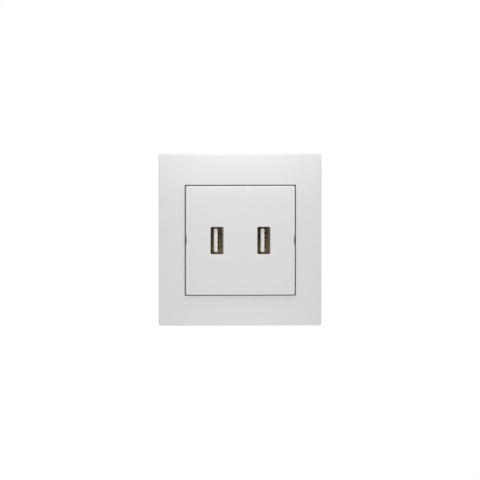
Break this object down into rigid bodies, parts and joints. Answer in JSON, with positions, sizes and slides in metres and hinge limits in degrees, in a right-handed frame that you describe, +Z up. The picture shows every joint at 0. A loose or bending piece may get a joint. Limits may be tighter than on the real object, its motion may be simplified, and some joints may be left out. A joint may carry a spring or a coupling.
{
  "type": "usb wall socket",
  "caption": "Flush wall socket with a domed square cover frame and a centre plate with two upright USB-A ports, on a steel strap with spreading claws.",
  "frame": {"origin": "on the wall surface, at the middle of the socket", "axes": "-Y out of the wall towards the user, +Y into the wall, +Z up, +X to the right seen from the front"},
  "size_m": [0.08, 0.0352, 0.0846],
  "materials": {
    "bar_brass": "plain brass",
    "board_laminate": "green lacquered laminate",
    "bobbin_plastic": "black moulding",
    "cage_steel": "zinc plated",
    "capacitor_sleeve": "shrunk sleeve",
    "case_plastic": "fine grained dark plastic",
    "chip_plastic": "moulded black",
    "choke_sleeve": "shrunk sleeve",
    "claw_steel": "zinc plated sheet",
    "contact_gold": "gold plated",
    "disc_ceramic": "dipped blue",
    "ferrite": "dark sintered ferrite",
    "frame_plastic": "smooth white thermoplastic",
    "fuse_plastic": "brown red can",
    "plate_plastic": "smooth white thermoplastic",
    "resistor_ceramic": "dark film on ceramic",
    "screw_steel": "zinc plated",
    "shell_nickel": "nickel plated sheet",
    "strap_steel": "zinc plated sheet",
    "tongue_plastic": "ivory moulding",
    "winding_tape": "yellow tape"
  },
  "bodies": {
    "housing": {"bridge_rectifier": "chip_plastic", "centre_plate": "plate_plastic", "chip_resistor_1": "resistor_ceramic", "chip_resistor_2": "resistor_ceramic", "chip_resistor_3": "resistor_ceramic", "chip_resistor_4": "resistor_ceramic", "circuit_board": "board_laminate", "claw_pin_left": "screw_steel", "claw_pin_right": "screw_steel", "control_chip": "chip_plastic", "cover_frame": "frame_plastic", "filter_choke": "choke_sleeve", "input_capacitor": "capacitor_sleeve", "input_fuse": "fuse_plastic", "module_front": "case_plastic", "module_rear": "case_plastic", "module_screw_1": "screw_steel", "module_screw_2": "screw_steel", "mounting_strap": "strap_steel", "optocoupler": "chip_plastic", "output_capacitor_1": "capacitor_sleeve", "output_capacitor_2": "capacitor_sleeve", "port_chip": "chip_plastic", "safety_capacitor": "disc_ceramic", "terminal_bar_line": "bar_brass", "terminal_bar_neutral": "bar_brass", "transformer_bobbin": "bobbin_plastic", "transformer_core_lower": "ferrite", "transformer_core_upper": "ferrite", "transformer_winding": "winding_tape", "usb_contact_left_1": "contact_gold", "usb_contact_left_2": "contact_gold", "usb_contact_left_3": "contact_gold", "usb_contact_left_4": "contact_gold", "usb_contact_right_1": "contact_gold", "usb_contact_right_2": "contact_gold", "usb_contact_right_3": "contact_gold", "usb_contact_right_4": "contact_gold", "usb_insulator_left": "tongue_plastic", "usb_insulator_right": "tongue_plastic", "usb_shell_left": "shell_nickel", "usb_shell_right": "shell_nickel"},
    "claw_left_body": {"claw_left": "claw_steel"},
    "claw_right_body": {"claw_right": "claw_steel"},
    "claw_screw_left_body": {"claw_screw_left": "screw_steel"},
    "claw_screw_right_body": {"claw_screw_right": "screw_steel"},
    "claw_nut_left_body": {"claw_nut_left": "screw_steel"},
    "claw_nut_right_body": {"claw_nut_right": "screw_steel"},
    "terminal_cage_line_body": {"terminal_cage_line": "cage_steel"},
    "terminal_cage_neutral_body": {"terminal_cage_neutral": "cage_steel"},
    "terminal_screw_line_body": {"terminal_screw_line": "screw_steel"},
    "terminal_screw_neutral_body": {"terminal_screw_neutral": "screw_steel"}
  },
  "joints": [
    {"name": "claw_nut_left_travel", "type": "slide", "parent": "housing", "child": "claw_nut_left_body", "axis": [0, -1, 0], "range_m": [0, 0.00135]},
    {"name": "claw_screw_left_spin", "type": "hinge", "parent": "housing", "child": "claw_screw_left_body", "pos_m": [-0.0267, 0, 0], "axis": [0, 1, 0], "range_deg": [0, 975]},
    {"name": "claw_left_swing", "type": "hinge", "parent": "housing", "child": "claw_left_body", "pos_m": [-0.0229, 0.004, 0], "axis": [0, 0, 1], "range_deg": [0, 20.2]},
    {"name": "claw_nut_right_travel", "type": "slide", "parent": "housing", "child": "claw_nut_right_body", "axis": [0, -1, 0], "range_m": [0, 0.00135]},
    {"name": "claw_screw_right_spin", "type": "hinge", "parent": "housing", "child": "claw_screw_right_body", "pos_m": [0.0267, 0, 0], "axis": [0, 1, 0], "range_deg": [0, 975]},
    {"name": "claw_right_swing", "type": "hinge", "parent": "housing", "child": "claw_right_body", "pos_m": [0.0229, 0.004, 0], "axis": [0, 0, -1], "range_deg": [0, 20.2]},
    {"name": "terminal_cage_line_travel", "type": "slide", "parent": "housing", "child": "terminal_cage_line_body", "axis": [0, 1, 0], "range_m": [0, 0.0024]},
    {"name": "terminal_screw_line_spin", "type": "hinge", "parent": "housing", "child": "terminal_screw_line_body", "pos_m": [-0.009, 0.0155, -0.0155], "axis": [0, -1, 0], "range_deg": [0, 1731]},
    {"name": "terminal_cage_neutral_travel", "type": "slide", "parent": "housing", "child": "terminal_cage_neutral_body", "axis": [0, 1, 0], "range_m": [0, 0.0024]},
    {"name": "terminal_screw_neutral_spin", "type": "hinge", "parent": "housing", "child": "terminal_screw_neutral_body", "pos_m": [0.009, 0.0155, -0.0155], "axis": [0, -1, 0], "range_deg": [0, 1731]}
  ],
  "couplings": [
    {"joint": "claw_screw_left_spin", "follows": "claw_nut_left_travel", "rad_per_m": 12566},
    {"joint": "claw_left_swing", "follows": "claw_nut_left_travel", "rad_per_m": 258.57},
    {"joint": "claw_screw_right_spin", "follows": "claw_nut_right_travel", "rad_per_m": 12566},
    {"joint": "claw_right_swing", "follows": "claw_nut_right_travel", "rad_per_m": 258.57},
    {"joint": "terminal_screw_line_spin", "follows": "terminal_cage_line_travel", "rad_per_m": 12566},
    {"joint": "terminal_screw_neutral_spin", "follows": "terminal_cage_neutral_travel", "rad_per_m": 12566}
  ]
}
